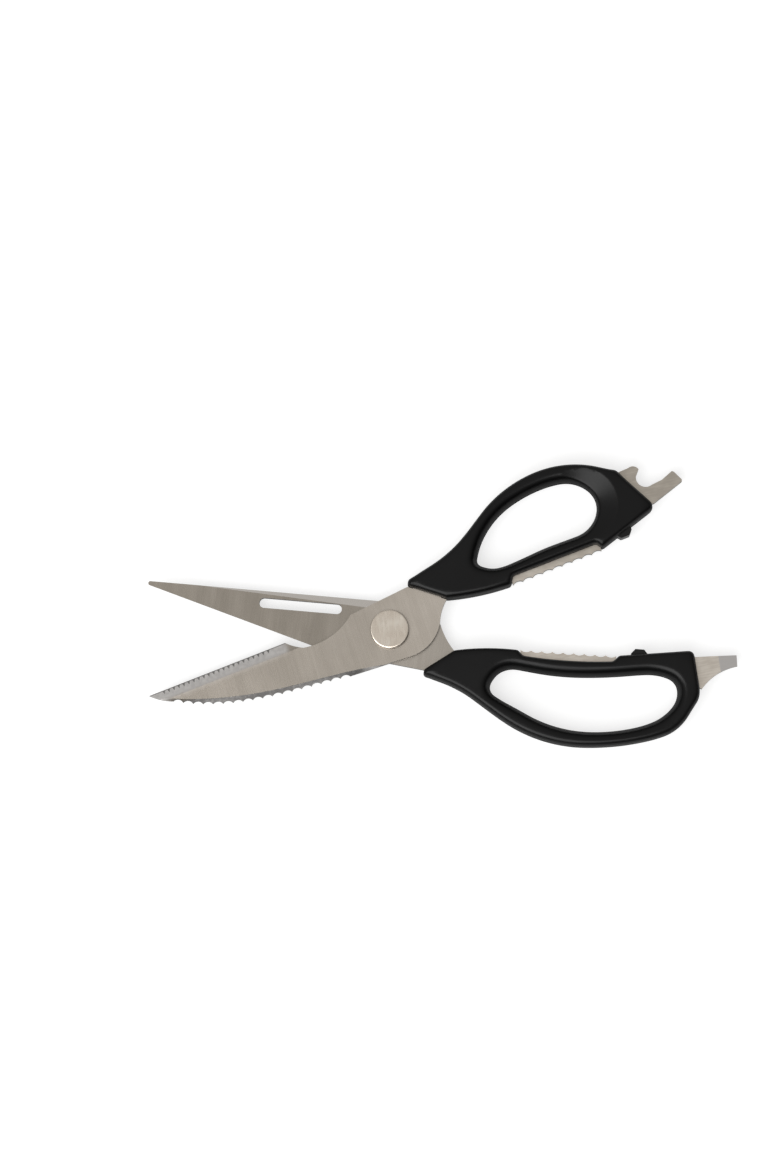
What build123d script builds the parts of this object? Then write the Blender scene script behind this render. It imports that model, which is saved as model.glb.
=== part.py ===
from build123d import *
import math
import os

# Kitchen shears lying flat, part open. Millimetres, +Z up.
# The pivot axis is the Z axis and the resting plane is z = 0. Tips point to -X.
# Every piece is drawn with the shears closed, and each half is then turned to its open position.

# How far each half is turned from closed, in degrees
front_open = 18.6
back_open = -7.6

# Blades, measured from the pivot axis
blade_reach = 95.6
blade_depth = 12.0
blade_thickness = 2.4
blade_gap = 0.1
boss_reach = 19.5
bevel_width = 4.0
edge_land = 0.3
spine_relief_line = 7.6
spine_relief_width = 2.6
spine_relief_drop = 0.7

# Scaling teeth on the back of the front blade
scaler_count = 18
scaler_depth = 1.0
scaler_bevel_drop = 1.5

# Ground serrations on the edge of the front blade
serration_pitch = 2.04
serration_width = 1.1
serration_run = 1.3
serration_depth = 0.22

# Slot near the spine of the back blade
slot_length = 31.9
slot_width = 3.9
slot_setback = 35.6
slot_below_spine = 4.6

# Handles, measured from the pivot axis
handle_thickness = 12.0
upper_reach = 111.0
upper_height = 40.0
lower_reach = 120.5
lower_height = 35.0
rim_round = 3.6
rim_steps = 2
edge_break = 0.6
corner_round = 1.2
lip_round = 0.7
heel_round = 2.4
dish_radius = 14.0
dish_drop = 4.4

# Tangs in the handles
tang_width = 9.0
tang_root = 8.0
tang_round = 1.5
tang_length_share = 0.70
tang_hole_share = 0.42
seat_clearance = 0.1

# Steel inserts: gripping teeth, bottle opener and screwdriver
insert_thickness = 2.4
upper_tooth_reach = 3.0
lower_tooth_reach = 2.3
jaw_tooth_count = 9
jaw_tooth_depth = 0.75
opener_length = 14.9
opener_width = 20.0
screwdriver_length = 15.9
screwdriver_width = 15.2
screwdriver_tip_thickness = 1.0
screwdriver_tip_length = 7.0
strip_depth = 3.4
jaw_bite = 1.2
peg_diameter = 3.0
peg_depth = 1.2

# Closing stops between the handles, placed along the straight edge behind the jaw recess
upper_stop_share = 0.374
lower_stop_share = 0.286
stop_width = 6.4
stop_top_width = 3.4
stop_height = 6.0
stop_root = 2.2
stop_rise = 1.79

# Pivot
head_diameter = 14.8
head_height = 2.0
head_break = 0.5
shank_diameter = 6.0
flat_across = 5.2
thread_diameter = 5.0
washer_diameter = 13.2
washer_thickness = 0.4
spring_diameter = 10.0
spring_thickness = 0.35
spring_rise = 0.3
nut_diameter = 12.0
nut_bevel = 0.5
nut_floor = 1.0
pivot_clearance = 0.05
axial_gap = 0.05

overrun = 5.0

# Heights that follow from the stack
middle = handle_thickness / 2
front_low = middle + blade_gap / 2
front_top = front_low + blade_thickness
back_top = middle - blade_gap / 2
back_low = back_top - blade_thickness
insert_low = middle - insert_thickness / 2
insert_top = middle + insert_thickness / 2
washer_low = front_top + axial_gap
head_low = washer_low + washer_thickness
nut_top = back_low - spring_rise - spring_thickness

# Upper handle, closed: x as a share of upper_reach, y as a share of upper_height
upper_crown_shares = [
    (0.113, 0.394), (0.278, 0.532), (0.388, 0.713), (0.472, 0.864), (0.809, 0.932), (0.917, 0.770),
]
upper_edge_shares = {
    "corner": (1.008, 0.313), "far_lip": (0.785, 0.092), "far_step": (0.769, 0.155),
    "near_step": (0.463, 0.113), "near_lip": (0.447, 0.033), "throat": (0.331, 0.049),
    "mouth_inner": (0.219, 0.105), "mouth_outer": (0.105, 0.340),
}
upper_hole_shares = [
    (0.363, 0.378), (0.413, 0.568), (0.662, 0.832), (0.772, 0.763), (0.816, 0.548),
    (0.781, 0.360), (0.643, 0.285), (0.462, 0.240), (0.392, 0.268),
]
upper_dish_share = (0.764, 0.563)
upper_core_below_shares = [(0.800, 0.250), (0.880, 0.330)]
upper_core_above_shares = [(0.870, 0.700), (0.855, 0.440), (0.810, 0.320), (0.765, 0.255)]
upper_peg_share = (0.910, 0.500)

# Lower handle, closed: x as a share of lower_reach, y as a share of lower_height
lower_crown_shares = [
    (0.126, -0.447), (0.227, -0.536), (0.352, -0.752), (0.452, -0.913),
    (0.858, -0.827), (0.949, -0.632), (0.993, -0.346), (0.996, -0.174),
]
lower_edge_shares = {
    "corner": (0.963, 0.214), "far_lip": (0.730, 0.049), "far_step": (0.714, -0.022),
    "recess": (0.568, -0.080), "near_step": (0.431, -0.089), "near_lip": (0.413, -0.034),
    "throat": (0.320, -0.057), "mouth_inner": (0.212, -0.131), "mouth_outer": (0.124, -0.385),
}
lower_hole_shares = [
    (0.341, -0.431), (0.372, -0.289), (0.468, -0.257), (0.773, -0.151), (0.868, -0.111), (0.918, -0.180),
    (0.929, -0.300), (0.903, -0.504), (0.805, -0.711), (0.526, -0.783), (0.404, -0.633),
]
lower_core_above_shares = [(0.735, -0.028), (0.770, 0.010), (0.835, 0.024), (0.855, 0.085), (0.925, 0.125)]
lower_core_below_shares = [
    (0.955, -0.160), (0.918, -0.065), (0.872, -0.046), (0.805, -0.068), (0.730, -0.108),
]
lower_peg_share = (0.915, 0.015)

# Front blade, closed: x as a share of blade_reach, y as a share of blade_depth
front_tip_share = (-1.000, 0.442)
front_heel_share = (-0.415, 0.683)
front_notch_shares = [(-0.394, 0.530), (-0.351, 0.325), (-0.262, 0.333), (-0.130, 0.850)]
front_belly_shares = [
    (-0.209, -1.005), (-0.450, -0.884), (-0.650, -0.690), (-0.806, -0.358), (-0.913, 0.025),
]
front_nose_share = (-0.968, 0.242)
scaler_bevel_shares = [
    (-0.060, -1.020), (-0.190, -0.870), (-0.535, -0.640), (-0.780, -0.250), (-0.955, 0.250),
]
scaler_edge_shares = [
    (-0.060, -1.020), (-0.190, -1.020), (-0.535, -0.840), (-0.785, -0.430), (-0.965, 0.190),
]

# Back blade, closed: x as a share of blade_reach, y as a share of blade_depth
back_spine_shares = [(-0.050, 0.905), (-0.986, 0.560)]
back_tip_share = (-0.992, 0.483)
back_point_share = (-0.984, 0.425)
back_heel_share = (-0.235, -0.935)
back_foot_share = (-0.110, -0.990)

# Rounded rear of both blades: x as a share of boss_reach, y as a share of blade_depth
front_rear_shares = [(1.060, -0.020), (0.979, -0.292), (0.730, -0.765), (0.200, -1.025)]
back_rear_shares = [(1.100, 0.020), (0.969, 0.400), (0.700, 0.775), (0.050, 0.925)]

# Tools, from the handle wall that they leave: outward share, then share along the wall
opener_hook_shares = [(0.050, 0.985), (0.270, 0.910), (0.430, 0.815), (0.435, 0.745), (0.250, 0.690)]
opener_notch_shares = [(0.165, 0.605), (0.365, 0.355), (0.640, 0.277)]
opener_lever_shares = [(0.975, 0.253), (1.000, 0.215), (0.990, 0.000), (0.950, -0.025), (0.050, 0.080)]
screwdriver_edge_shares = [(0.050, 0.165), (1.000, 0.268), (0.975, 0.550)]
screwdriver_sweep_shares = [(0.375, 0.715), (0.050, 0.980)]


def spots(shares, reach, height):
    """Places of a table of shares, scaled by the sizes that it follows."""
    return [Vector(x * reach, y * height) for x, y in shares]


def spot(share, reach, height):
    """Place of one pair of shares."""
    return spots([share], reach, height)[0]


def seen_from(origin, outward, along, shares, length, width):
    """Places given by shares outward from a wall and along it."""
    return [origin + outward * (a * length) + along * (b * width) for a, b in shares]


upper_edge = {name: spot(share, upper_reach, upper_height) for name, share in upper_edge_shares.items()}
lower_edge = {name: spot(share, lower_reach, lower_height) for name, share in lower_edge_shares.items()}
upper_crown = spots(upper_crown_shares, upper_reach, upper_height)
lower_crown = spots(lower_crown_shares, lower_reach, lower_height)
upper_hole = spots(upper_hole_shares, upper_reach, upper_height)
lower_hole = spots(lower_hole_shares, lower_reach, lower_height)


def slab(face, low, high):
    """Solid of a flat outline between two heights."""
    return extrude(Pos(0, 0, low) * face, amount=high - low, dir=(0, 0, 1))


def round_corners(face, places, radius):
    """Round the corners of an outline that lie at the places given."""
    corners = [min(face.vertices(), key=lambda v: (Vector(v) - place).length) for place in places]
    return fillet(corners, radius)


def arc_pair(start, end, start_run, end_run):
    """Two arcs that lead smoothly from one place and direction to the next."""
    span, turn = end - start, start_run + end_run
    spread = 2 - 2 * start_run.dot(end_run)
    reach = (math.sqrt(span.dot(turn) ** 2 + spread * span.dot(span)) - span.dot(turn)) / spread
    joint = (start + end + (start_run - end_run) * reach) / 2
    first = TangentArc(start, joint, tangent=start_run)
    return [first, TangentArc(joint, end, tangent=first % 1)]


def arc_line(guide, places):
    """Chain of arcs that follows a smooth guide line from place to place."""
    stops = [guide.param_at_point(place) for place in places]
    if guide.is_closed:
        stops.append(1)
    arcs = []
    for a, b in zip(stops[:-1], stops[1:]):
        arcs += arc_pair(guide @ a, guide @ b, guide % a, guide % b)
    return Curve() + arcs


def upper_outline():
    """Plan of the upper handle: crowned back, square end, jaw recess and blade mouth."""
    e = upper_edge
    ends = [upper_crown[1] - upper_crown[0], upper_crown[-1] - upper_crown[-2]]
    lines = arc_line(Spline(*upper_crown, tangents=ends), upper_crown)
    corners = [e[name] for name in ("corner", "far_lip", "far_step", "near_step", "near_lip")]
    lines += Polyline(upper_crown[-1], *corners)
    lines += ThreePointArc(e["near_lip"], e["throat"], e["mouth_inner"])
    lines += Polyline(e["mouth_inner"], e["mouth_outer"], upper_crown[0])
    return round_handle_corners(make_face(lines), e)


def lower_outline():
    """Plan of the lower handle: long round bow, square end, jaw recess and blade mouth."""
    e = lower_edge
    ends = [lower_crown[1] - lower_crown[0], e["corner"] - lower_crown[-1]]
    lines = arc_line(Spline(*lower_crown, tangents=ends), lower_crown)
    lines += Polyline(lower_crown[-1], e["corner"], e["far_lip"], e["far_step"])
    lines += ThreePointArc(e["far_step"], e["recess"], e["near_step"])
    lines += Line(e["near_step"], e["near_lip"])
    lines += ThreePointArc(e["near_lip"], e["throat"], e["mouth_inner"])
    lines += Polyline(e["mouth_inner"], e["mouth_outer"], lower_crown[0])
    return round_handle_corners(make_face(lines), e)


def round_handle_corners(face, edge):
    """Round the heel, the lips of the jaw recess and the corners of the mouth."""
    face = round_corners(face, [edge["corner"]], heel_round)
    face = round_corners(face, [edge["far_lip"], edge["near_lip"], edge["mouth_inner"]], corner_round)
    return round_corners(face, [edge["far_step"], edge["near_step"], edge["mouth_outer"]], lip_round)


def hole_outline(places):
    """Plan of a finger hole, one smooth closed chain of arcs."""
    return make_face(arc_line(Spline(*places, periodic=True), places))


def rim_plugs(hole):
    """Tapered plugs that round the rim of a finger hole in flat-sided steps."""
    plugs = []
    for i in range(rim_steps):
        low, high = (math.pi / 2 * (i + k) / rim_steps for k in (0, 1))
        inset = rim_round * (1 - math.cos(low))
        foot = handle_thickness - rim_round * (1 - math.sin(low))
        rise = rim_round * (math.sin(high) - math.sin(low))
        widen = rim_round * (math.cos(low) - math.cos(high))
        plan = offset(hole, inset) if i else hole
        taper = -math.degrees(math.atan2(widen, rise))
        height = handle_thickness - foot + edge_break * rise / rim_round
        plugs.append(extrude(Pos(0, 0, foot) * plan, amount=height, dir=(0, 0, 1), taper=taper))
    return plugs


def half_shell(outline, hole, dish=None):
    """Front half of a handle above the split: broken edges, rounded finger hole and thumb dish."""
    shell = slab(outline - hole, middle, handle_thickness)
    face = shell.faces().sort_by(Axis.Z)[-1]
    shell = chamfer(face.outer_wire().edges(), edge_break) - rim_plugs(hole)
    if dish is not None:
        hollow = make_face(Polyline((0, -dish_drop), (dish_radius, 0), (0, 0), close=True))
        shell -= Pos(dish.X, dish.Y, handle_thickness) * revolve(Plane.XZ * hollow, Axis.Z, 360)
    return shell


def tang_frame(edge, hole):
    """Middle of a blade mouth, direction of the tang and room up to the finger hole."""
    centre = (edge["mouth_inner"] + edge["mouth_outer"]) / 2
    room = hole[0] - centre
    return centre, room.normalized(), room.length


def tang_outline(edge, hole):
    """Plan of a tang: a strip with a rounded tail that lies inside the handle."""
    centre, axis, room = tang_frame(edge, hole)
    side = Vector(-axis.Y, axis.X) * (tang_width / 2)
    root = centre - axis * tang_root
    tail = centre + axis * (room * tang_length_share)
    face = make_face(Polyline(root + side, tail + side, tail - side, root - side, close=True))
    return round_corners(face, [tail + side, tail - side], tang_round)


def tang_peg(edge, hole):
    """Place of the moulded peg that locks a tang."""
    centre, axis, room = tang_frame(edge, hole)
    return centre + axis * (room * tang_hole_share)


def shoulder(edge):
    """Inner and outer end of a blade's shoulder, just short of the handle mouth."""
    side = edge["mouth_outer"] - edge["mouth_inner"]
    away = Vector(-side.Y, side.X).normalized() * seat_clearance
    if away.dot(edge["mouth_inner"]) > 0:
        away = -away
    return edge["mouth_inner"] + away, edge["mouth_outer"] + away


def scallops(curve, count, depth, inward_turn):
    """Arcs that follow a curve as a row of teeth, hollowed to one side of it."""
    tips = [curve @ (i / count) for i in range(count + 1)]
    arcs = []
    for start, end in zip(tips[:-1], tips[1:]):
        run = (end - start).normalized()
        inward = Vector(run.Y, -run.X) * inward_turn
        arcs.append(ThreePointArc(start, (start + end) / 2 + inward * depth, end))
    return Curve() + arcs


def edge_bevel(start, end, inward, land, face_height):
    """Wedge that grinds a straight cutting edge on one side of a blade."""
    along = (end - start).normalized()
    slope = (face_height - land) / bevel_width
    outer = start - along * overrun - inward * overrun
    low = outer + Vector(0, 0, land - slope * overrun)
    high = low + inward * (bevel_width + 2 * overrun) + Vector(0, 0, slope * (bevel_width + 2 * overrun))
    corner = Vector(outer.X, outer.Y, high.Z)
    section = make_face(Polyline(low, high, corner, close=True))
    return extrude(section, amount=(end - start).length + 2 * overrun, dir=along)


def serrations(start, end, inward):
    """Grooves ground across the front blade's bevel, widest and deepest at the very edge."""
    along = (end - start).normalized()
    slope = (blade_thickness - edge_land) / bevel_width
    level = Vector(0, 0, front_low + edge_land)
    deep = Vector(0, 0, serration_depth)
    climb = inward * serration_run + Vector(0, 0, slope * serration_run) + deep
    first = start + along * (bevel_width + serration_pitch)
    count = int(((end - first).length - bevel_width) / serration_pitch)
    grooves = []
    for i in range(count):
        near = first + along * (i * serration_pitch) + level - deep - climb
        crests = [near + deep * 2 + along * serration_width, near + deep * 2 - along * serration_width]
        wedge = make_face(Polyline(near, *crests, close=True))
        grooves.append(extrude(wedge, amount=2 * climb.length, dir=climb.normalized()))
    return grooves


def scaler_bevel():
    """Cutter for the ground band along the scaling teeth, running out at both ends."""
    outer = spots(scaler_edge_shares, blade_reach, blade_depth)
    inner = spots(scaler_bevel_shares, blade_reach, blade_depth)
    beyond = [a * 2 - b for a, b in zip(inner, outer)]
    wires = []
    lifts = (-scaler_bevel_drop, scaler_bevel_drop)
    for places, lift in zip((outer, beyond), lifts):
        far = Vector(0, -blade_depth - overrun)
        ends = [Vector(places[-1].X, far.Y), Vector(places[0].X, far.Y)]
        face = make_face(Spline(*places) + Polyline(places[-1], *ends, places[0]))
        wires.append(Pos(0, 0, front_top + lift) * face)
    return loft(wires, ruled=True)


def front_blade():
    """Front blade: serrated edge, bone notch, scaling teeth on its back, tang into the upper handle."""
    tip = spot(front_tip_share, blade_reach, blade_depth)
    heel = spot(front_heel_share, blade_reach, blade_depth)
    notch = spots(front_notch_shares, blade_reach, blade_depth)
    belly = spots(front_belly_shares, blade_reach, blade_depth)
    nose = spot(front_nose_share, blade_reach, blade_depth)
    rear = spots(front_rear_shares, boss_reach, blade_depth)
    inner, outer = shoulder(upper_edge)
    lines = Line(tip, heel) + ThreePointArc(heel, notch[0], notch[1])
    lines += ThreePointArc(notch[1], notch[2], notch[3])
    lines += Polyline(notch[3], outer, inner)
    lines += ThreePointArc(inner, rear[0], rear[1]) + ThreePointArc(rear[1], rear[2], rear[3])
    lines += Line(rear[3], belly[0]) + scallops(Spline(*belly), scaler_count, scaler_depth, 1)
    lines += ThreePointArc(belly[-1], nose, tip)
    blade = slab(make_face(lines), front_low, front_top)
    inward = Vector(heel.Y - tip.Y, tip.X - heel.X).normalized()
    blade -= edge_bevel(tip, heel, inward, front_low + edge_land, front_top)
    blade -= scaler_bevel()
    blade -= serrations(tip, heel, inward)
    blade += slab(tang_outline(upper_edge, upper_hole), front_low, front_top)
    peg = tang_peg(upper_edge, upper_hole)
    blade -= Pos(peg.X, peg.Y, middle) * Cylinder(peg_diameter / 2 + seat_clearance, 2 * handle_thickness)
    return blade - Cylinder(shank_diameter / 2 + pivot_clearance, 2 * handle_thickness)


def back_blade():
    """Back blade: plain edge ground on the hidden side, long slot, tang into the lower handle."""
    spine = spots(back_spine_shares, blade_reach, blade_depth)
    tip = spot(back_tip_share, blade_reach, blade_depth)
    point = spot(back_point_share, blade_reach, blade_depth)
    heel = spot(back_heel_share, blade_reach, blade_depth)
    foot = spot(back_foot_share, blade_reach, blade_depth)
    rear = spots(back_rear_shares, boss_reach, blade_depth)
    inner, outer = shoulder(lower_edge)
    lines = Line(spine[0], spine[1]) + ThreePointArc(spine[1], tip, point)
    lines += Polyline(point, heel, foot, outer, inner)
    lines += ThreePointArc(inner, rear[0], rear[1]) + ThreePointArc(rear[1], rear[2], rear[3])
    lines += Line(rear[3], spine[0])
    blade = slab(make_face(lines), back_low, back_top)
    inward = Vector(point.Y - heel.Y, heel.X - point.X).normalized()
    blade -= edge_bevel(point, heel, inward, back_top - edge_land, back_low)
    blade -= spine_relief()
    blade += slab(tang_outline(lower_edge, lower_hole), back_low, back_top)
    peg = tang_peg(lower_edge, lower_hole)
    blade -= Pos(peg.X, peg.Y, middle) * Cylinder(peg_diameter / 2 + seat_clearance, 2 * handle_thickness)
    blade -= blade_slot(spine)
    return blade - slab(double_d(pivot_clearance), back_low - overrun, back_top + overrun)


def spine_relief():
    """Wedge that grinds the mating face down towards the back blade's spine."""
    slope = spine_relief_drop / spine_relief_width
    near = Vector(-blade_reach - overrun, spine_relief_line - overrun, back_top + slope * overrun)
    far = Vector(near.X, spine_relief_line + overrun, back_top - slope * overrun)
    section = make_face(Polyline(near, far, Vector(near.X, far.Y, near.Z), close=True))
    return extrude(section, amount=blade_reach + boss_reach + 2 * overrun, dir=(1, 0, 0))


def blade_slot(spine):
    """Long round-ended slot that runs beside the spine."""
    run = (spine[0] - spine[1]).normalized()
    below = Vector(run.Y, -run.X)
    centre = spine[0] + run * ((-slot_setback - spine[0].X) / run.X) + below * slot_below_spine
    turned = Pos(centre.X, centre.Y, 0) * Rot(0, 0, math.degrees(math.atan2(run.Y, run.X)))
    return slab(turned * SlotOverall(slot_length, slot_width), back_low - overrun, back_top + overrun)


def double_d(clearance):
    """Plan of the keyed part of the bolt: a circle with two flats."""
    across = flat_across + 2 * clearance
    return Circle(shank_diameter / 2 + clearance) & Rectangle(shank_diameter + overrun, across)


def pivot_bolt():
    """Bolt with a flat round head, a plain shank, a keyed middle and a threaded end."""
    head = Pos(0, 0, head_low + head_height / 2) * Cylinder(head_diameter / 2, head_height)
    head = chamfer(head.edges().sort_by(Axis.Z)[-1], head_break)
    bolt = head + slab(Circle(shank_diameter / 2), back_top, head_low)
    bolt += slab(double_d(0), back_low, back_top)
    return bolt + slab(Circle(thread_diameter / 2), nut_floor + seat_clearance, back_low)


def pivot_washer():
    """Flat washer between the bolt head and the front blade."""
    ring = Circle(washer_diameter / 2) - Circle(shank_diameter / 2 + seat_clearance)
    return slab(ring, washer_low, head_low)


def spring_washer():
    """Dished washer that keeps the blades pressed together."""
    bore = thread_diameter / 2 + seat_clearance
    rim = spring_diameter / 2
    section = Polyline(
        Vector(bore, 0, back_low - spring_thickness), Vector(bore, 0, back_low),
        Vector(rim, 0, nut_top + spring_thickness), Vector(rim, 0, nut_top), close=True,
    )
    return revolve(make_face(section), Axis.Z, 360)


def pivot_nut():
    """Round blind nut whose flat back lies on the resting plane."""
    nut = slab(Circle(nut_diameter / 2), 0, nut_top)
    nut = chamfer(nut.edges().sort_by(Axis.Z)[0], nut_bevel)
    return nut - slab(Circle(thread_diameter / 2 + pivot_clearance), nut_floor, nut_top + overrun)


def end_wall(corner, far_end):
    """Outward direction of a handle's end wall and the direction along it from its corner."""
    along = (far_end - corner).normalized()
    outward = Vector(along.Y, -along.X)
    return (outward if outward.X > 0 else -outward), along


def opener_places(shares):
    """Places on the bottle opener, from the heel corner of the upper handle."""
    outward, along = end_wall(upper_edge["corner"], upper_crown[-1])
    return seen_from(upper_edge["corner"], outward, along, shares, opener_length, opener_width)


def screwdriver_places(shares):
    """Places on the screwdriver, from the heel corner of the lower handle."""
    outward, along = end_wall(lower_edge["corner"], lower_crown[-1])
    return seen_from(lower_edge["corner"], outward, along, shares, screwdriver_length, screwdriver_width)


def jaw_lines(edge, tooth_reach, side):
    """Tooth line of an insert in front of its recess, and the ends of its strip behind the wall."""
    along = (edge["far_step"] - edge["near_step"]).normalized()
    out = Vector(-along.Y, along.X) * side
    near = edge["near_step"] - along * jaw_bite
    far = edge["far_step"] + along * jaw_bite
    return near + out * tooth_reach, far + out * tooth_reach, far - out * lip_round, near - out * strip_depth


def upper_core():
    """Plan of the upper insert without its opener: gripping strip and the block behind the end wall."""
    near_tip, far_tip, far_root, near_root = jaw_lines(upper_edge, upper_tooth_reach, -1)
    below = spots(upper_core_below_shares, upper_reach, upper_height)
    above = spots(upper_core_above_shares, upper_reach, upper_height)
    root_high, root_low = opener_places([opener_hook_shares[0], opener_lever_shares[-1]])
    places = [near_tip, far_tip, far_root, *below, root_low, root_high, *above, near_root]
    return make_face(Polyline(*places, close=True)), Line(near_tip, far_tip)


def lower_core():
    """Plan of the lower insert without its screwdriver."""
    near_tip, far_tip, far_root, near_root = jaw_lines(lower_edge, lower_tooth_reach, 1)
    above = spots(lower_core_above_shares, lower_reach, lower_height)
    below = spots(lower_core_below_shares, lower_reach, lower_height)
    root_high, root_low = screwdriver_places([screwdriver_edge_shares[0], screwdriver_sweep_shares[-1]])
    places = [near_tip, far_tip, far_root, *above, root_high, root_low, *below, near_root]
    return make_face(Polyline(*places, close=True)), Line(near_tip, far_tip)


def tooth_gaps(tip_line, side):
    """Hollows between the gripping teeth, as one outline to cut away."""
    start, end = tip_line @ 0, tip_line @ 1
    out = Vector(start.Y - end.Y, end.X - start.X).normalized() * side
    row = scallops(tip_line, jaw_tooth_count, jaw_tooth_depth, side)
    frame = Polyline(end, end + out * overrun, start + out * overrun, start)
    return make_face(row + frame)


def opener():
    """Plan of the bottle opener: hook, round notch and pry lever."""
    hook = opener_places(opener_hook_shares)
    notch = opener_places(opener_notch_shares)
    lever = opener_places(opener_lever_shares)
    lines = Line(hook[0], hook[1]) + ThreePointArc(hook[1], hook[2], hook[3]) + Line(hook[3], hook[4])
    lines += ThreePointArc(hook[4], notch[0], notch[1]) + Line(notch[1], notch[2])
    lines += Polyline(notch[2], *lever, hook[0])
    return make_face(lines)


def upper_insert():
    """Upper steel insert: gripping teeth in the jaw recess and the bottle opener at the end."""
    core, tip_line = upper_core()
    plan = core + opener() - tooth_gaps(tip_line, -1)
    place = spot(upper_peg_share, upper_reach, upper_height)
    return slab(plan, insert_low, insert_top) - peg(place, insert_low, insert_top, seat_clearance)


def screwdriver():
    """Plan of the screwdriver: straight upper edge, square tip and swept lower edge."""
    top = screwdriver_places(screwdriver_edge_shares)
    sweep = screwdriver_places(screwdriver_sweep_shares)
    lines = Polyline(*top) + ThreePointArc(top[-1], sweep[0], sweep[1]) + Line(sweep[-1], top[0])
    return make_face(lines)


def tip_grinding():
    """Pair of wedges that thin the screwdriver's tip from both faces."""
    outward, along = end_wall(lower_edge["corner"], lower_crown[-1])
    slope = (insert_thickness - screwdriver_tip_thickness) / 2 / screwdriver_tip_length
    wedges = []
    for side in (1, -1):
        face_height = middle + side * insert_thickness / 2
        root = lower_edge["corner"] + outward * (screwdriver_length - screwdriver_tip_length)
        root += Vector(0, 0, face_height) - along * overrun
        reach = screwdriver_tip_length + overrun
        low = root + outward * reach - Vector(0, 0, side * slope * reach)
        high = root + outward * reach + Vector(0, 0, side * overrun)
        wedge = make_face(Polyline(root, low, high, close=True))
        wedges.append(extrude(wedge, amount=screwdriver_width + 2 * overrun, dir=along))
    return wedges


def lower_insert():
    """Lower steel insert: gripping teeth in the jaw recess and the screwdriver at the end."""
    core, tip_line = lower_core()
    plan = core + screwdriver() - tooth_gaps(tip_line, 1)
    place = spot(lower_peg_share, lower_reach, lower_height)
    plate = slab(plan, insert_low, insert_top) - tip_grinding()
    return plate - peg(place, insert_low, insert_top, seat_clearance)


def stop_outline(side):
    """Plan of one closing stop: a hump on the handle's straight edge, and its root in the handle."""
    edge, share = (upper_edge, upper_stop_share) if side > 0 else (lower_edge, lower_stop_share)
    run = edge["corner"] - edge["far_lip"]
    foot = edge["far_lip"] + run * share
    crest = foot + Vector(run.Y, -run.X).normalized() * (side * stop_rise)
    ray = crest.normalized()
    back = Vector(-ray.Y, ray.X) * side
    top = ray * (stop_top_width / 2)
    wide = ray * (stop_width / 2)
    waist = crest + back * (foot - crest).dot(back)
    root = waist + back * stop_root
    places = [crest - top, crest + top, waist + wide, root + wide, root - wide, waist - wide]
    return make_face(Polyline(*places, close=True))


def stop(side):
    """Closing stop, let into the middle of the handle's inner edge."""
    return slab(stop_outline(side), middle - stop_height / 2, middle + stop_height / 2)


def peg(place, root, end, clearance=0):
    """Moulded peg, or with a clearance the socket for one."""
    disc = Pos(place.X, place.Y) * Circle(peg_diameter / 2 + clearance)
    return slab(disc, min(root, end), max(root, end))


def upper_shells():
    """Front and back shell of the upper handle. The pegs stand on the back shell."""
    dish = spot(upper_dish_share, upper_reach, upper_height)
    front = half_shell(upper_outline(), hole_outline(upper_hole), dish)
    back = mirror(front, about=Plane.XY.offset(middle))
    core, _ = upper_core()
    room = offset(core, seat_clearance, kind=Kind.INTERSECTION)
    pocket = slab(room, insert_low - seat_clearance, insert_top + seat_clearance)
    front -= [pocket, stop(1)]
    back -= [pocket, stop(1)]
    tang = offset(tang_outline(upper_edge, upper_hole), seat_clearance)
    front -= slab(tang, front_low - seat_clearance, front_top + seat_clearance)
    insert_peg = spot(upper_peg_share, upper_reach, upper_height)
    blade_peg = tang_peg(upper_edge, upper_hole)
    for place, root, seat in ((insert_peg, insert_low, insert_top), (blade_peg, middle, front_top)):
        back += peg(place, root - peg_depth, seat + peg_depth)
        front -= peg(place, seat, seat + peg_depth + seat_clearance, seat_clearance)
    return front, back


def lower_shells():
    """Front and back shell of the lower handle. The pegs stand on the front shell."""
    front = half_shell(lower_outline(), hole_outline(lower_hole))
    back = mirror(front, about=Plane.XY.offset(middle))
    core, _ = lower_core()
    room = offset(core, seat_clearance, kind=Kind.INTERSECTION)
    pocket = slab(room, insert_low - seat_clearance, insert_top + seat_clearance)
    front -= [pocket, stop(-1)]
    back -= [pocket, stop(-1)]
    tang = offset(tang_outline(lower_edge, lower_hole), seat_clearance)
    back -= slab(tang, back_low - seat_clearance, back_top + seat_clearance)
    insert_peg = spot(lower_peg_share, lower_reach, lower_height)
    blade_peg = tang_peg(lower_edge, lower_hole)
    for place, root, seat in ((insert_peg, insert_top, insert_low), (blade_peg, middle, back_low)):
        front += peg(place, root + peg_depth, seat - peg_depth)
        back -= peg(place, seat, seat - peg_depth - seat_clearance, seat_clearance)
    return front, back


upper_front_shell, upper_back_shell = upper_shells()
lower_front_shell, lower_back_shell = lower_shells()

front_half = {
    "front_blade": front_blade(),
    "upper_handle_front_shell": upper_front_shell,
    "upper_handle_back_shell": upper_back_shell,
    "upper_jaw_insert": upper_insert(),
    "upper_stop": stop(1),
}
back_half = {
    "back_blade": back_blade(),
    "lower_handle_front_shell": lower_front_shell,
    "lower_handle_back_shell": lower_back_shell,
    "lower_jaw_insert": lower_insert(),
    "lower_stop": stop(-1),
    "pivot_bolt": pivot_bolt(),
    "pivot_washer": pivot_washer(),
    "spring_washer": spring_washer(),
    "pivot_nut": pivot_nut(),
}

os.makedirs("parts", exist_ok=True)
for half, turn in ((front_half, front_open), (back_half, back_open)):
    for name, shape in half.items():
        export_step(Rot(0, 0, turn) * shape, f"parts/{name}.step")
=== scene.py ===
import math
import bmesh
import bpy
from mathutils import Matrix, Vector
from mathutils.geometry import delaunay_2d_cdt, tessellate_polygon
from mathutils.kdtree import KDTree


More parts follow.
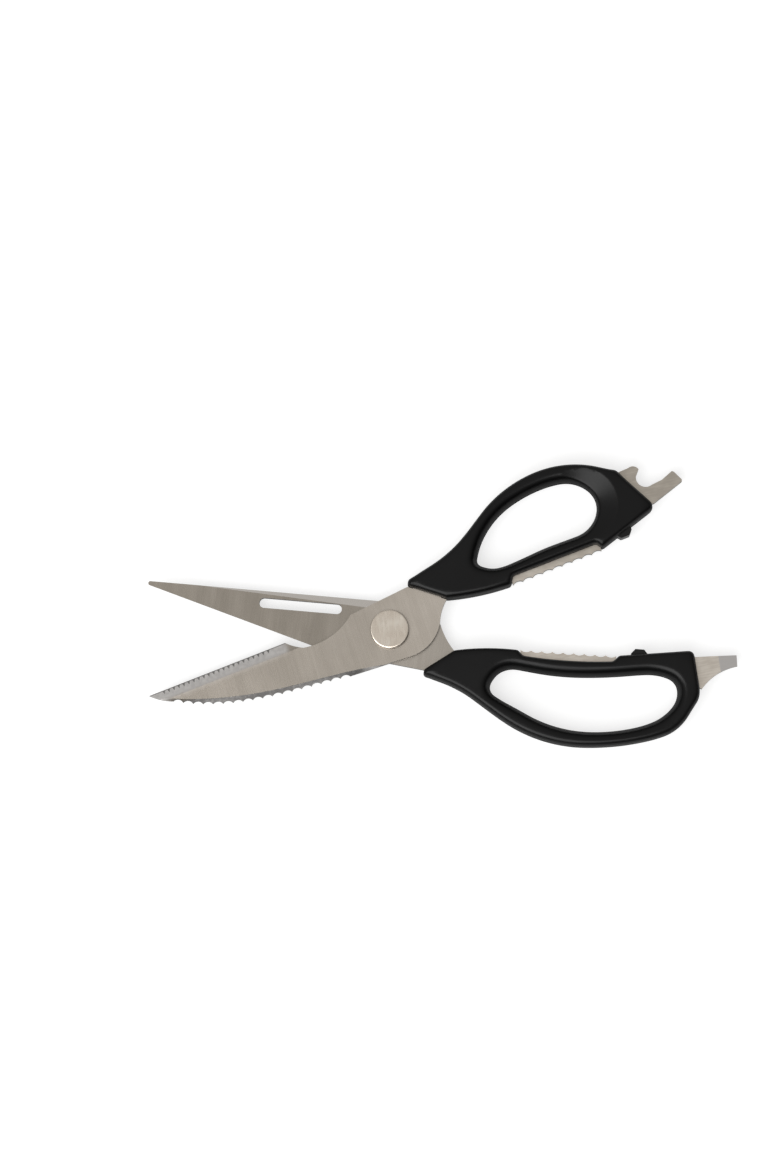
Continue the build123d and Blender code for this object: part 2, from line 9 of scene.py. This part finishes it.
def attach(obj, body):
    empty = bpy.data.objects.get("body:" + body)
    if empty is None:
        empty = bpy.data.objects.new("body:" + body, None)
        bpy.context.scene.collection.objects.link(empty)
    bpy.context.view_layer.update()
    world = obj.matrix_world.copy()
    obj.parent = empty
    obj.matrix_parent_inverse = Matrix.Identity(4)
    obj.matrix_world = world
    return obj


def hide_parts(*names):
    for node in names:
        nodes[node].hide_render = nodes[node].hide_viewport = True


# Kitchen shears lying flat, part open. Blender's places are metres and the sizes written here
# are millimetres, in the CAD's frame: pivot axis Z, tips towards -X, table at z = 0.
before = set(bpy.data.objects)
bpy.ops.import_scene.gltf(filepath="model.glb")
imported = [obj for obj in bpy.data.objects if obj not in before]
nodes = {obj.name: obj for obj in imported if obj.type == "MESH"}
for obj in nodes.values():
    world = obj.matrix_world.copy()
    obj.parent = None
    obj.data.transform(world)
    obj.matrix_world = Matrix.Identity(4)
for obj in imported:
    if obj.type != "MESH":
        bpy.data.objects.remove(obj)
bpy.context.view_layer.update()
mm = 0.001


# Back blade: a stamped stainless plate with a long slot, a plain edge ground on its hidden side
# and a narrow ground band along its spine. A belt ran across it and left fine lines across its
# length. Its tang is moulded into the lower handle.
class Wire:
    """An output of a shader node. Arithmetic on it adds Math nodes to the same material."""

    def __init__(self, socket):
        self.socket = socket
        self.tree = socket.id_data

    def node(self, kind, settings, inputs, out=0):
        """Add a node: its settings first, then numbers, colours or wires to its sockets."""
        made = self.tree.nodes.new(kind)
        for name, value in settings.items():
            setattr(made, name, value)
        for name, value in inputs.items():
            if isinstance(value, Wire):
                self.tree.links.new(value.socket, made.inputs[name])
            else:
                made.inputs[name].default_value = value
        return Wire(made.outputs[out])

    def math(self, operation, other):
        return self.node("ShaderNodeMath", {"operation": operation}, {0: self, 1: other})

    def __add__(self, other):
        return self.math("ADD", other)

    def __sub__(self, other):
        return self.math("SUBTRACT", other)

    def __rsub__(self, other):
        return self.node("ShaderNodeMath", {"operation": "SUBTRACT"}, {0: other, 1: self})

    def __mul__(self, other):
        return self.math("MULTIPLY", other)

    __radd__, __rmul__ = __add__, __mul__

    def fade(self, low, high):
        """Smooth step that is 0 at low and 1 at high."""
        smooth = {"interpolation_type": "SMOOTHSTEP"}
        fed = {"Value": self, "From Min": low, "From Max": high}
        return self.node("ShaderNodeMapRange", smooth, fed)

    def lying(self, degrees):
        """Place in millimetres, straightened for a piece that lies turned by an angle."""
        straight = {"Rotation": (0, 0, math.radians(-degrees)), "Scale": (1 / mm, 1 / mm, 1 / mm)}
        return self.node("ShaderNodeMapping", {}, {"Vector": self, **straight})

    def part(self, axis):
        return self.node("ShaderNodeSeparateXYZ", {}, {"Vector": self}, "XYZ".index(axis))

    def noise(self, scale, detail=2.0):
        """Cloudy value near one half."""
        fed = {"Vector": self, "Scale": scale, "Detail": detail}
        return self.node("ShaderNodeTexNoise", {}, fed)

    def drawn_out(self, along_x, along_y):
        """Noise pulled into streaks, from the spots per millimetre along X and along Y."""
        fed = {0: self, 1: (along_x, along_y, 1.0)}
        return self.node("ShaderNodeVectorMath", {"operation": "MULTIPLY"}, fed).noise(1.0)

    def punched(self):
        """1 on the walls that the punch left, from a wire that says how far up a face looks."""
        return 1 - self.fade(0.2, 0.4)

    def tint(self, first, second):
        """Colour that goes from the first to the second as this wire goes from 0 to 1."""
        pair = (first, second)
        ends = [(*colour, 1) if isinstance(colour, tuple) else colour for colour in pair]
        fed = {"Factor": self, 6: ends[0], 7: ends[1]}
        return self.node("ShaderNodeMix", {"data_type": "RGBA"}, fed, 2)

    def feeds(self, shader, socket):
        self.tree.links.new(self.socket, shader.inputs[socket])

    def raises(self, shader, depth):
        """Use this wire as relief, its full height in millimetres."""
        fed = {"Height": self, "Distance": depth * mm, "Strength": 1.0}
        self.node("ShaderNodeBump", {}, fed).feeds(shader, "Normal")


def finish(name, **constants):
    """New material. Gives it, its shader, the place on the piece and how far up a face looks."""
    material = bpy.data.materials.new(name)
    material.use_nodes = True
    tree = material.node_tree
    shader = tree.nodes["Principled BSDF"]
    for socket, value in constants.items():
        shader.inputs[socket.replace("_", " ")].default_value = value
    place = Wire(tree.nodes.new("ShaderNodeTexCoord").outputs["Object"])
    upward = Wire(tree.nodes.new("ShaderNodeNewGeometry").outputs["True Normal"]).part("Z")
    return material, shader, place, upward


def dress(node, material):
    """Give a CAD node its finish."""
    nodes[node].data.materials.clear()
    nodes[node].data.materials.append(material)


back_turn = -7.6
line_depth = 0.0008
tang_start, tang_end = -30, 25
# The wall colour is painted shade for the steep cut walls.
ground_colour, wall_shade_colour = (0.76, 0.720, 0.675), (0.16, 0.150, 0.140)
steel, shader, place, upward = finish("back_blade_steel", Metallic=1.0)
flat = place.lying(back_turn)
lines = flat.drawn_out(1.5, 0.05)
tone = (flat.drawn_out(0.7, 0.04) * 0.3 + flat.drawn_out(0.16, 0.05)).fade(0.45, 0.9)
far = tone.tint((0.39, 0.350, 0.300), (0.45, 0.405, 0.350))
near = tone.tint((0.53, 0.485, 0.430), (0.60, 0.550, 0.490))
body = flat.part("X").fade(tang_start, tang_end).tint(far, near)
ground = 1 - upward.fade(0.97, 0.985)
# The steep cut walls are rougher and get a painted shade that darkens them.
rough_shaded_walls = upward.punched()
colour = ground.tint(body, ground_colour)
rough_shaded_walls.tint(colour, wall_shade_colour).feeds(shader, "Base Color")
(lines * 0.06 + rough_shaded_walls * 0.2 + 0.24).feeds(shader, "Roughness")
lines.raises(shader, line_depth)
dress("back_blade", steel)


# Front blade: the same plate, brighter. The cutting bevel is a coarser grind with cross marks,
# lighter than the plate and with a painted highlight on its slope; its very edge is dark with
# short notches. The band along the scaling teeth is rougher, with painted shade that darkens it,
# most towards the tip, and the cut walls are rougher with painted shade. Its tang is moulded into
# the upper handle.
front_turn = 18.6
edge_slope, edge_height, edge_width = 0.0519, 10.26, 0.5
bevel_end, bevel_run_out = -38.0, 3.0
bevel_reach, bevel_sway = 4.2, 3.0
notch_start, notch_end, notch_pitch = -89.57, -45.8, 2.037
notch_depth, notch_point = 1.3, 1.8
boss_start, boss_end = -28, 14
edge_colour, wall_shade_colour = (0.36, 0.350, 0.340), (0.20, 0.190, 0.180)
steel, shader, place, upward = finish("front_blade_steel", Metallic=1.0)
flat = place.lying(front_turn)
along, across = flat.part("X"), flat.part("Y")
lines, marks = flat.drawn_out(1.5, 0.05), flat.drawn_out(0.6, 0.16)
cross_marks = marks.fade(0.3, 0.7)

tone = (flat.drawn_out(0.7, 0.04) * 0.25 + flat.drawn_out(0.12, 0.07)).fade(0.42, 0.9)
far = tone.tint((0.51, 0.460, 0.400), (0.58, 0.525, 0.460))
near = tone.tint((0.62, 0.560, 0.490), (0.70, 0.635, 0.560))
body = along.fade(boss_start, boss_end).tint(far, near)

from_edge = along * edge_slope + edge_height - across
before_heel = 1 - along.fade(bevel_end - bevel_run_out, bevel_end)
swaying = from_edge + (marks - 0.5) * bevel_sway
bevel = (1 - swaying.fade(bevel_reach - 1.4, bevel_reach + 1.8)) * before_heel
# Painted highlight: the grind is lighter where the bevel slopes and dimmer where it runs onto the
# flat.
bright = cross_marks.tint((0.80, 0.775, 0.760), (0.95, 0.925, 0.905))
grind_dimmed_on_flat = cross_marks.tint((0.56, 0.520, 0.475), (0.62, 0.580, 0.535))
sloped = 1 - upward.fade(0.985, 0.999)
grind = sloped.tint(grind_dimmed_on_flat, bright)

past_start = along - notch_start
peak = 1 - past_start.math("PINGPONG", notch_pitch / 2) * notch_point
toothed = past_start.fade(-1, 0) * (1 - along.fade(notch_end, notch_end + 1))
notch = peak.math("MAXIMUM", 0.0) * toothed * notch_depth
very_edge = (1 - (from_edge - notch).fade(0.15, edge_width)) * before_heel

# Painted shade: the band along the scaling teeth is darkened, most towards the tip; it is also
# rougher.
scaler = (1 - upward.fade(0.95, 0.97)) * (1 - across.fade(-2, 0))
coarse_marks = marks.fade(0.4, 0.7)
scaler_shade_at_tip = coarse_marks.tint((0.20, 0.193, 0.188), (0.30, 0.290, 0.283))
scaler_shade_at_heel = coarse_marks.tint((0.42, 0.405, 0.395), (0.52, 0.505, 0.490))
scaler_shade = along.fade(-60, -8).tint(scaler_shade_at_tip, scaler_shade_at_heel)

# The steep cut walls are rougher and get a painted shade that darkens them.
rough_shaded_walls = upward.punched()
colour = scaler.tint(very_edge.tint(bevel.tint(body, grind), edge_colour), scaler_shade)
rough_shaded_walls.tint(colour, wall_shade_colour).feeds(shader, "Base Color")
roughness = lines * 0.06 + bevel * 0.06 + scaler * 0.08 + rough_shaded_walls * 0.15 + 0.24
roughness.feeds(shader, "Roughness")
lines.raises(shader, line_depth)
dress("front_blade", steel)


# Pivot: a turned bolt through both blades with a flat washer under its low round head, and a
# dished washer with a blind nut at the back that keep the blades pressed together.
# Painted shade: the washers are painted dark to give the dark ring round the pivot head.
washer_metal, shader, place, upward = finish("washer_steel", Metallic=1.0)
washer_shade_speckle = place.noise(900)
washer_shade_speckle.tint((0.26, 0.24, 0.21), (0.36, 0.33, 0.30)).feeds(shader, "Base Color")
(washer_shade_speckle * 0.2 + 0.35).feeds(shader, "Roughness")
dress("pivot_washer", washer_metal)
dress("spring_washer", washer_metal)

pivot_metal, shader, place, upward = finish("pivot_steel", Metallic=1.0)
flat = place.lying(0)
lines = flat.drawn_out(1.2, 0.20)
tone = (lines * 0.4 + flat.drawn_out(0.22, 0.16) * 0.8).fade(0.45, 0.9)
# Painted shade: the head's rounded rim and side are darkened, and rougher.
edge = 1 - upward.fade(0.35, 0.95)
edge_colour = (0.34, 0.310, 0.280)
colour = tone.tint((0.76, 0.672, 0.575), (0.90, 0.830, 0.730))
edge.tint(colour, edge_colour).feeds(shader, "Base Color")
(lines * 0.08 + edge * 0.16 + 0.24).feeds(shader, "Roughness")
dress("pivot_nut", pivot_metal)


def turned(name, section, steps):
    """Round closed piece about the pivot axis, from places given as radius and height."""
    form = bmesh.new()
    rings = []
    for radius, height in section:
        across, up = radius * mm, height * mm
        angles = [k * math.tau / steps for k in range(steps)]
        places = [(math.cos(a) * across, math.sin(a) * across, up) for a in angles]
        rings.append([form.verts.new(p) for p in places])
    for low, high in zip(rings, rings[1:]):
        for k in range(steps):
            form.faces.new((low[k - 1], low[k], high[k], high[k - 1]))
    form.faces.new(rings[-1])
    form.faces.new(rings[0][::-1])
    mesh = bpy.data.meshes.new(name)
    form.to_mesh(mesh)
    form.free()
    return mesh


def placed(mesh, body, material, sharpest_smooth=32):
    """Put a finished mesh into the scene on its body."""
    mesh.shade_smooth()
    mesh.set_sharp_from_angle(angle=math.radians(sharpest_smooth))
    mesh.materials.append(material)
    piece = bpy.data.objects.new(mesh.name, mesh)
    bpy.context.scene.collection.objects.link(piece)
    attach(piece, body)
    return piece


bolt_steps = 128
bolt_section = [
    (2.50, 1.10), (2.50, 3.55), (2.60, 3.56), (2.60, 5.95), (3.00, 5.96), (3.00, 8.90),
    (7.05, 8.90), (7.24, 8.97), (7.36, 9.14), (7.40, 9.40), (7.40, 10.46), (7.38, 10.60),
    (7.32, 10.71), (7.22, 10.80), (7.09, 10.86), (6.94, 10.89), (6.78, 10.90), (6.60, 10.90),
    (6.30, 10.90), (4.00, 10.90), (2.00, 10.90), (0.60, 10.90),
]
bolt_mesh = turned("pivot_bolt_turned", bolt_section, bolt_steps)
bolt = placed(bolt_mesh, "back_half", pivot_metal)
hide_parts("pivot_bolt")


# Steel inserts: stamped plates held between the handle shells. Outside the handles they end in
# the gripping teeth of the jaw, the bottle opener and the ground screwdriver.
insert_metal, shader, place, upward = finish("insert_steel", Metallic=1.0)
rolled_along = 12
line_depth = 0.002
bright_until, dull_from = 15, 45
ground_colour, wall_shade_colour = (0.70, 0.675, 0.655), (0.20, 0.190, 0.175)
flat = place.lying(rolled_along)
lines = flat.drawn_out(0.15, 2.0)
tone = (lines * 0.5 + flat.drawn_out(0.2, 0.3) * 0.8).fade(0.45, 0.9)
bright = tone.tint((0.70, 0.635, 0.555), (0.84, 0.775, 0.690))
dull = tone.tint((0.53, 0.480, 0.415), (0.64, 0.585, 0.505))
body = place.lying(0).part("Y").fade(bright_until, dull_from).tint(bright, dull)
ground = 1 - upward.fade(0.996, 0.999)
# The steep cut walls are rougher and get a painted shade that darkens them.
rough_shaded_walls = upward.punched()
colour = ground.tint(body, ground_colour)
rough_shaded_walls.tint(colour, wall_shade_colour).feeds(shader, "Base Color")
(lines * 0.10 + rough_shaded_walls * 0.15 + 0.26).feeds(shader, "Roughness")
lines.raises(shader, line_depth)
dress("upper_jaw_insert", insert_metal)
dress("lower_jaw_insert", insert_metal)


# Handles: black satin plastic, each moulded as two shells that meet half way up and grip the
# tang and the insert. The outer edge is rounded, the finger hole has a wide round rim, and the
# upper handle is dished where the thumb rests beyond its hole.
plastic, shader, place, upward = finish("handle_plastic", IOR=1.33)
pebble, pebble_height = place.noise(2400), 0.007
haze = place.noise(45, 3)
haze.tint((0.0012, 0.0012, 0.0013), (0.0030, 0.0030, 0.0031)).feeds(shader, "Base Color")
steep = 1 - (upward * upward).fade(0.05, 0.45)
(haze * 0.12 + pebble * 0.08 + steep * 0.30 + 0.22).feeds(shader, "Roughness")
pebble.raises(shader, pebble_height)

shell_top, split = 12.0, 6.0
wall_line, hole_line = 11.4, 8.4
edge_in, edge_down, edge_rings = 1.9, 2.3, 8
rim_in, rim_down, rim_rings = 3.6, 5.6, 12
wall_draft = 0.2
crest_ease, crest_reach, crest_rounds = 2.5, 4, 16
kink_reach, kink_rounds = 1, 3
seam_bevel = 0.12
weld_gap, level_slack, corner_slack, grid_slack = 0.001, 0.02, 0.04, 1e-5
knot_step, curve_step, outline_step = 6.0, 0.05, 0.35
field_step, field_row, field_gap = 1.1, 0.866, 0.3
dish_places = {"upper": (84.8, 22.5), "lower": None}
dish_reach, dish_depth = 14.0, 4.4
dish_step, dish_ring, dish_rings, dish_lip = 0.7, 0.9, 13, 0.4
merge_power = 6


def turned_line(line):
    """Twice the area that a closed line runs round counterclockwise."""
    return sum(a.cross(b) for a, b in zip(line, line[1:] + line[:1]))


def outline_of(node, height):
    """Longest closed line of a CAD node's edges at a height, running counterclockwise."""
    form = bmesh.new()
    form.from_mesh(nodes[node].data)
    bmesh.ops.remove_doubles(form, verts=form.verts, dist=weld_gap * mm)
    near = {}
    for edge in form.edges:
        if all(abs(v.co.z / mm - height) < level_slack for v in edge.verts):
            a, b = edge.verts
            near.setdefault(a, []).append(b)
            near.setdefault(b, []).append(a)
    lines = []
    while near:
        line = [next(iter(near))]
        while line[-1] in near:
            line += [v for v in near.pop(line[-1]) if v in near][:1]
        lines.append([(v.co / mm).to_2d() for v in line])
    form.free()
    longest = max(lines, key=lambda line: sum((b - a).length for a, b in zip(line, line[1:])))
    return longest if turned_line(longest) > 0 else longest[::-1]


def smooth_curve(line):
    """Places a curve step apart on the smooth closed curve through the places of a line."""
    knots = []
    for b, c in zip(line, line[1:] + line[:1]):
        pieces = math.ceil((c - b).length / knot_step)
        knots += [b.lerp(c, k / pieces) for k in range(pieces)]
    curve = []
    for i in range(len(knots)):
        a, b, c, d = (knots[(i + k) % len(knots)] for k in (-1, 0, 1, 2))
        ab, bc, cd = (math.sqrt((q - p).length) for p, q in ((a, b), (b, c), (c, d)))
        leave = ((b - a) / ab - (c - a) / (ab + bc) + (c - b) / bc) * bc
        reach = ((c - b) / bc - (d - b) / (bc + cd) + (d - c) / cd) * bc
        pieces = max(1, round((c - b).length / curve_step))
        for t in (k / pieces for k in range(pieces)):
            start = b * (2 * t**3 - 3 * t**2 + 1) + leave * (t**3 - 2 * t**2 + t)
            curve.append(start + c * (3 * t**2 - 2 * t**3) + reach * (t**3 - t**2))
    return curve


def even(curve, step):
    """Even places along a closed curve, with its smallest kinks eased."""
    runs = [(b - a).length for a, b in zip(curve, curve[1:] + curve[:1])]
    count = round(sum(runs) / step)
    places, passed, i = [], 0.0, 0
    for goal in (sum(runs) * k / count for k in range(count)):
        while passed + runs[i] < goal:
            passed += runs[i]
            i += 1
        places.append(curve[i].lerp(curve[(i + 1) % len(curve)], (goal - passed) / runs[i]))
    return eased(places, kink_reach, kink_rounds)


def eased(line, reach, rounds):
    """The same closed line with its corners rounded over a number of places."""
    for _ in range(rounds):
        ahead = line[reach:] + line[:reach]
        line = [(line[i - reach] + p * 2 + q) / 4 for i, (p, q) in enumerate(zip(line, ahead))]
    return line


class Border:
    """Closed line with the plastic on its left, that can say how far a place is inside."""

    def __init__(self, line):
        self.line = line
        self.tree = KDTree(len(line))
        for i, p in enumerate(line):
            self.tree.insert((p.x, p.y, 0), i)
        self.tree.balance()

    def inward(self, i):
        run = self.line[(i + 1) % len(self.line)] - self.line[i - 1]
        return Vector((-run.y, run.x)).normalized()

    def inside(self, p):
        """Distance to the left of the line, negative on its right."""
        _, i, gap = self.tree.find((p.x, p.y, 0))
        return gap if (p - self.line[i]).dot(self.inward(i)) > 0 else -gap

    def inset(self, distance):
        """The line moved in, without the places that fall behind a corner."""
        moved = [p + self.inward(i) * distance for i, p in enumerate(self.line)]
        least = distance - corner_slack
        return [q for q in moved if self.tree.find((q.x, q.y, 0))[2] > least]


def round_over(distance, reach, fall):
    """How far a quarter round has fallen at a distance inside its foot."""
    share = min(1.0, max(0.0, 1 - distance / reach))
    return fall * (1 - math.sqrt(1 - share * share))


def shell_places(outer, hole, dish):
    """Places of the shell's face: borders first, then rings over the rounds and a fine field."""
    places, chains = [], []

    def add(line):
        start = len(places)
        places.extend(line)
        chains.extend((start + i, start + (i + 1) % len(line)) for i in range(len(line)))

    add(outer.line)
    add(hole.line)
    for border, reach, rings in ((outer, edge_in, edge_rings), (hole, rim_in, rim_rings)):
        for k in range(1, rings + 1):
            add(border.inset(reach * (1 - math.cos(math.pi / 2 * k / rings))))
    low = Vector((min(p.x for p in outer.line), min(p.y for p in outer.line)))
    high = Vector((max(p.x for p in outer.line), max(p.y for p in outer.line)))
    columns = math.ceil((high.x - low.x) / field_step)
    rows = math.ceil((high.y - low.y) / (field_step * field_row))
    field = []
    for row in range(rows):
        start = low + Vector((row % 2 * field_step / 2, row * field_step * field_row))
        field += [start + Vector((column * field_step, 0)) for column in range(columns)]
    if dish:
        field = [p for p in field if (p - dish).length > dish_reach + 2 * dish_lip]
        radii = [dish_reach + dish_lip, dish_reach]
        radii += [dish_reach - dish_lip - dish_ring * k for k in range(dish_rings)]
        for radius in radii:
            count = round(math.tau * radius / dish_step)
            angles = [math.tau * k / count for k in range(count)]
            field += [dish + Vector((math.cos(a), math.sin(a))) * radius for a in angles]
    field = [p for p in field if outer.inside(p) > edge_in + field_gap]
    places += [p for p in field if hole.inside(p) > rim_in + field_gap]
    return places, chains


def shell_mesh(name, outer, hole, crest, dish, flip):
    """Closed shell between the split plane and its rounded, dished face."""
    places, chains = shell_places(outer, hole, dish)
    flat_places, _, faces, sources, _, _ = delaunay_2d_cdt(places, chains, [], 0, grid_slack)
    outer_count, border_count = len(outer.line), len(outer.line) + len(hole.line)
    border_of = [min(found, default=border_count) for found in sources]
    side_of = [0 if i < outer_count else 1 if i < border_count else 2 for i in border_of]
    faces = [f for f in faces if len({side_of[i] for i in f}) > 1 or side_of[f[0]] == 2]
    form = bmesh.new()
    top = []
    for p in flat_places:
        depth = outer.inside(p)
        spare = min(crest_ease, max(0.0, depth - crest.inside(p)))
        falls = [
            round_over(depth, edge_in + spare, edge_down),
            round_over(hole.inside(p), rim_in, rim_down),
            max(0.0, 1 - (p - dish).length / dish_reach) * dish_depth if dish else 0.0,
        ]
        fall = sum(f**merge_power for f in falls) ** (1 / merge_power)
        top.append(form.verts.new((p.x, p.y, shell_top - fall)))
    for face in faces:
        form.faces.new([top[i] for i in face])
    at_border = {i: v for i, v in zip(border_of, top) if i < border_count}
    feet = []
    for border, start in ((outer, 0), (hole, outer_count)):
        count = len(border.line)
        upper = [at_border[start + i] for i in range(count)]
        wide = [p - border.inward(i) * wall_draft for i, p in enumerate(border.line)]
        inset = seam_bevel - wall_draft
        inner = [p + border.inward(i) * inset for i, p in enumerate(border.line)]
        lower = [form.verts.new((p.x, p.y, split + seam_bevel)) for p in wide]
        foot = [form.verts.new((p.x, p.y, split)) for p in inner]
        for a, b in ((upper, lower), (lower, foot)):
            for i in range(count):
                form.faces.new((a[i - 1], b[i - 1], b[i], a[i]))
        feet.append(foot)
    corners = feet[0] + feet[1]
    for a, b, c in tessellate_polygon([[v.co for v in foot] for foot in feet]):
        form.faces.new((corners[a], corners[b], corners[c]))
    for v in [v for v in form.verts if not v.link_faces]:
        form.verts.remove(v)
    for v in form.verts:
        v.co = Vector((v.co.x, v.co.y, 2 * split - v.co.z if flip else v.co.z)) * mm
    bmesh.ops.recalc_face_normals(form, faces=form.faces)
    mesh = bpy.data.meshes.new(name)
    form.to_mesh(mesh)
    form.free()
    return mesh


for half, body, turn in (("lower", "back_half", back_turn), ("upper", "front_half", front_turn)):
    shell = f"{half}_handle_front_shell"
    wall = Border(even(smooth_curve(outline_of(shell, wall_line)), outline_step))
    outer = Border([p + wall.inward(i) * wall_draft for i, p in enumerate(wall.line)])
    crest = Border(eased(outer.line, crest_reach, crest_rounds))
    wall = Border(even(smooth_curve(outline_of(shell, hole_line)), outline_step)[::-1])
    hole = Border([p + wall.inward(i) * wall_draft for i, p in enumerate(wall.line)])
    dish = dish_places[half]
    if dish:
        dish = Matrix.Rotation(math.radians(turn), 2) @ Vector(dish)
    for side, flip in (("front", False), ("back", True)):
        mesh = shell_mesh(f"{half}_handle_{side}_moulding", outer, hole, crest, dish, flip)
        moulding = placed(mesh, body, plastic)
        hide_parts(f"{half}_handle_{side}_shell")


# Closing stops: small moulded humps on the straight inner edges that meet when the handles
# close, of the same black plastic with a duller face.
stop_plastic, shader, place, upward = finish("stop_plastic", IOR=1.36)
pebble = place.noise(2200)
pebble.tint((0.002, 0.002, 0.002), (0.005, 0.005, 0.005)).feeds(shader, "Base Color")
(pebble * 0.1 + 0.35).feeds(shader, "Roughness")
dress("upper_stop", stop_plastic)
dress("lower_stop", stop_plastic)


# Table: a plain white sheet, part of the picture and not of the shears. It glows only to the
# camera and in reflections, so it lights nothing, and it still takes the shadow.
table_half, table_height = 12.0, -0.05 * mm
table_grey, table_glow, glossy_share = 0.50, 0.68, 0.5
turns = ((-1, -1), (1, -1), (1, 1), (-1, 1))
corners = [(x * table_half, y * table_half, table_height) for x, y in turns]
table_mesh = bpy.data.meshes.new("table")
table_mesh.from_pydata(corners, [], [(0, 1, 2, 3)])
table = bpy.data.objects.new("table", table_mesh)
bpy.context.scene.collection.objects.link(table)
paint, shader, place, upward = finish("table_paint", Roughness=0.9)
shader.inputs["Base Color"].default_value = (table_grey, table_grey, table_grey, 1)
shader.inputs["Specular IOR Level"].default_value = 0.0
shader.inputs["Emission Color"].default_value = (1, 1, 1, 1)
path = place.tree.nodes.new("ShaderNodeLightPath")
seen = Wire(path.outputs["Is Camera Ray"]) + Wire(path.outputs["Is Transmission Ray"])
seen = seen + Wire(path.outputs["Is Glossy Ray"]) * glossy_share
(seen * table_glow).feeds(shader, "Emission Strength")
table_mesh.materials.append(paint)


# Light: a soft sky, brightest overhead and darker to the right and below the picture, with one
# large soft lamp from the lower left.
world = bpy.context.scene.world or bpy.data.worlds.new("world")
bpy.context.scene.world = world
world.use_nodes = True
background = world.node_tree.nodes["Background"]
background.inputs["Color"].default_value = (1.0, 0.99, 0.975, 1)
direction = Wire(world.node_tree.nodes.new("ShaderNodeTexCoord").outputs["Generated"])
left_up = direction.part("Y") - direction.part("X")
overhead, slanted, everywhere, darkest = 0.36, 0.13, 0.13, 0.03
sky = direction.part("Z").fade(0.0, 0.9) * overhead + left_up * slanted + everywhere
sky.math("MAXIMUM", darkest).feeds(background, "Strength")

lamp_place, lamp_size, lamp_watts = Vector((-0.40, -0.69, 1.15)), 1.2, 15
light = bpy.data.lights.new("soft_lamp", "AREA")
light.size, light.energy = lamp_size, lamp_watts
lamp = bpy.data.objects.new("soft_lamp", light)
lamp.location = lamp_place
lamp.rotation_mode = "QUATERNION"
lamp.rotation_quaternion = (-lamp_place).to_track_quat("-Z", "Y")
bpy.context.scene.collection.objects.link(lamp)


# Camera: almost straight above, tipped a little towards the bottom and the right of the picture.
# Its lens gives the photograph's scale at the height of the handles.
picture_scale = 0.3835 * mm
picture_height = 1170
sensor_width = 36
aim = Vector((0, 17.3 * mm, 8 * mm))
camera_distance = 1.25
tilt_down, tilt_right = math.radians(8.0), math.radians(2.0)
back = Vector((math.tan(tilt_right), -math.tan(tilt_down), 1)).normalized()
side = (Vector((1, 0, 0)) - back * back.x).normalized()
camera = bpy.data.objects.new("camera", bpy.data.cameras.new("camera"))
bpy.context.scene.collection.objects.link(camera)
camera.location = aim + back * camera_distance
camera.rotation_mode = "QUATERNION"
camera.rotation_quaternion = Matrix((side, back.cross(side), back)).transposed().to_quaternion()
camera.data.sensor_width = sensor_width
camera.data.lens = sensor_width / (picture_height * picture_scale / camera_distance)
bpy.context.scene.camera = camera
bpy.context.scene.view_settings.view_transform = "Standard"
